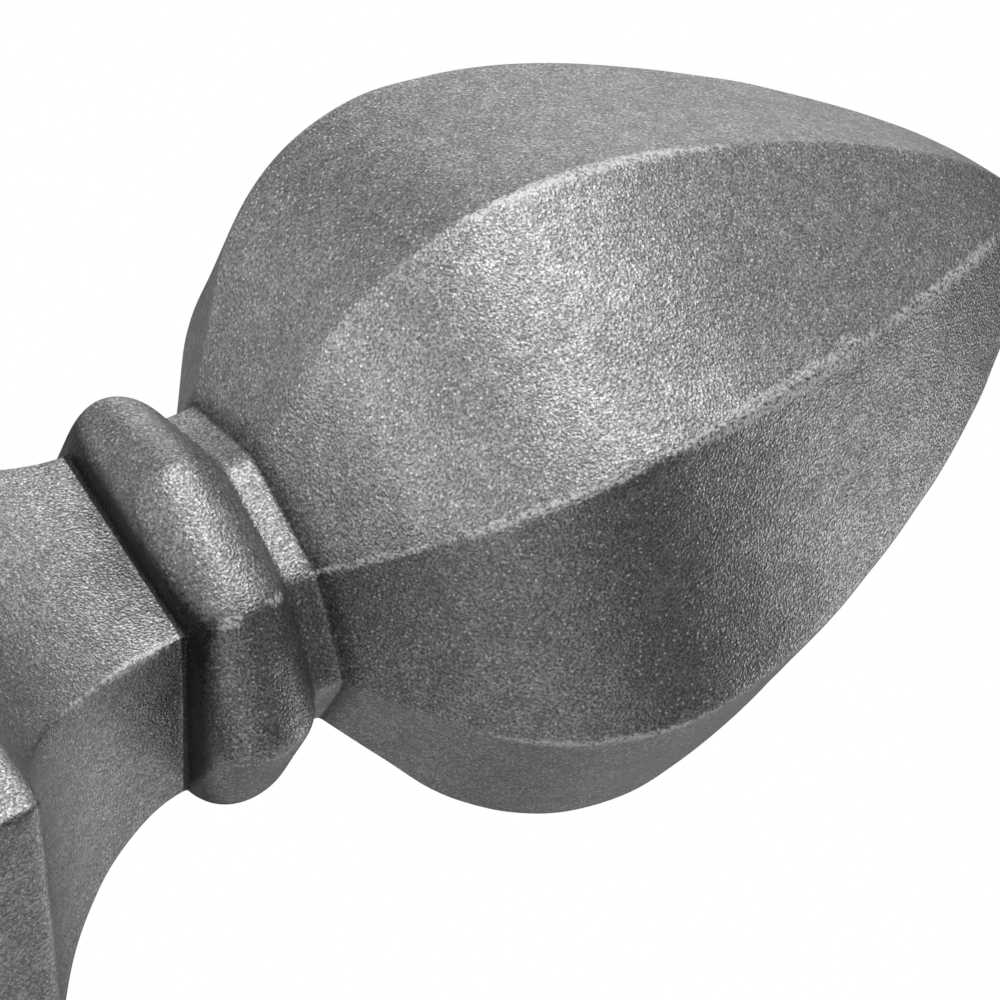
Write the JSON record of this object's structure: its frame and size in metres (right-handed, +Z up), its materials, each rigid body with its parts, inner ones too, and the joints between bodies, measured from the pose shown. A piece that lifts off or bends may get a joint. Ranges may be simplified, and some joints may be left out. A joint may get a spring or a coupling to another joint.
{
  "type": "post cap",
  "caption": "Solid forged steel post cap: square foot, concave square flare, faceted round collar and ridged bud with a blunt point. It sits on a square post.",
  "frame": {"origin": "centre of the flat underside of the square foot, where the cap sits on its post", "axes": "+Z up along the cap's axis to the point of the bud; X and Y square to the sides of the foot"},
  "size_m": [0.06, 0.06, 0.1148],
  "materials": {
    "forged_steel": "bare hot-forged steel, shot-blasted to a fine grey grain, with worn brighter ridges"
  },
  "bodies": {
    "root": {"post_cap": "forged_steel"}
  },
  "joints": []
}
